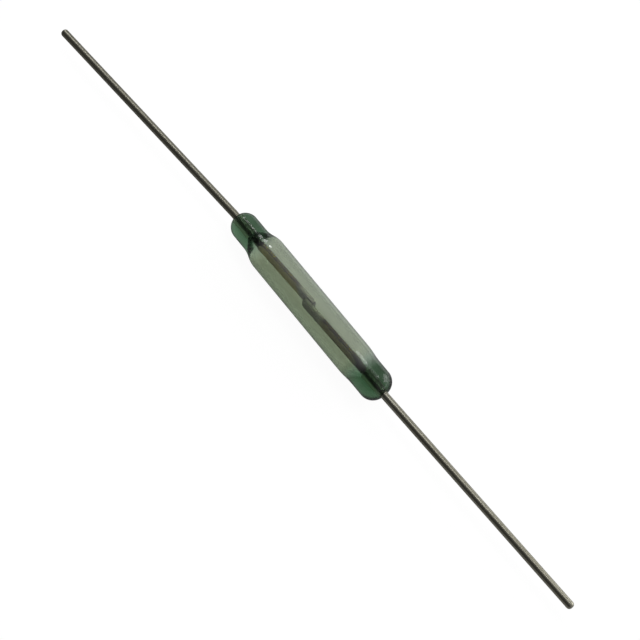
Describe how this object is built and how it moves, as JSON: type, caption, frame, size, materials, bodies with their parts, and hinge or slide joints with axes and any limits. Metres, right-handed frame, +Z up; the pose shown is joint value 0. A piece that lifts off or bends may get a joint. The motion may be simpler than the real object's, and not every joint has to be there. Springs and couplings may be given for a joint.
{
  "type": "glass reed switch",
  "caption": "Slim sealed glass reed switch: flat magnetic reeds overlap inside a green glass capsule and leave through its melted ends as round wire leads.",
  "frame": {"origin": "middle of the glass tube, on its axis", "axes": "+X along the glass tube towards the wider seal, +Z up along the width of the blades, +Y across the contact gap"},
  "size_m": [0.0463, 0.0023, 0.0022],
  "materials": {
    "green_glass": "gloss",
    "lead_metal": "satin",
    "blade_metal": "satin"
  },
  "bodies": {
    "switch_body": {"glass_capsule": "green_glass", "left_lead": "lead_metal", "right_lead": "lead_metal"},
    "left_reed_blade": {"left_blade": "blade_metal"},
    "right_reed_blade": {"right_blade": "blade_metal"}
  },
  "joints": [
    {"name": "left_blade_flex", "type": "hinge", "parent": "switch_body", "child": "left_reed_blade", "pos_m": [-0.0048, 0, 0], "axis": [0, 0, -1], "range_deg": [0, 0.417], "stiffness_Nm_per_rad": 0.142},
    {"name": "right_blade_flex", "type": "hinge", "parent": "switch_body", "child": "right_reed_blade", "pos_m": [0.0048, 0, 0], "axis": [0, 0, -1], "range_deg": [0, 0.417]}
  ],
  "couplings": [
    {"joint": "right_blade_flex", "follows": "left_blade_flex", "ratio": 1}
  ]
}
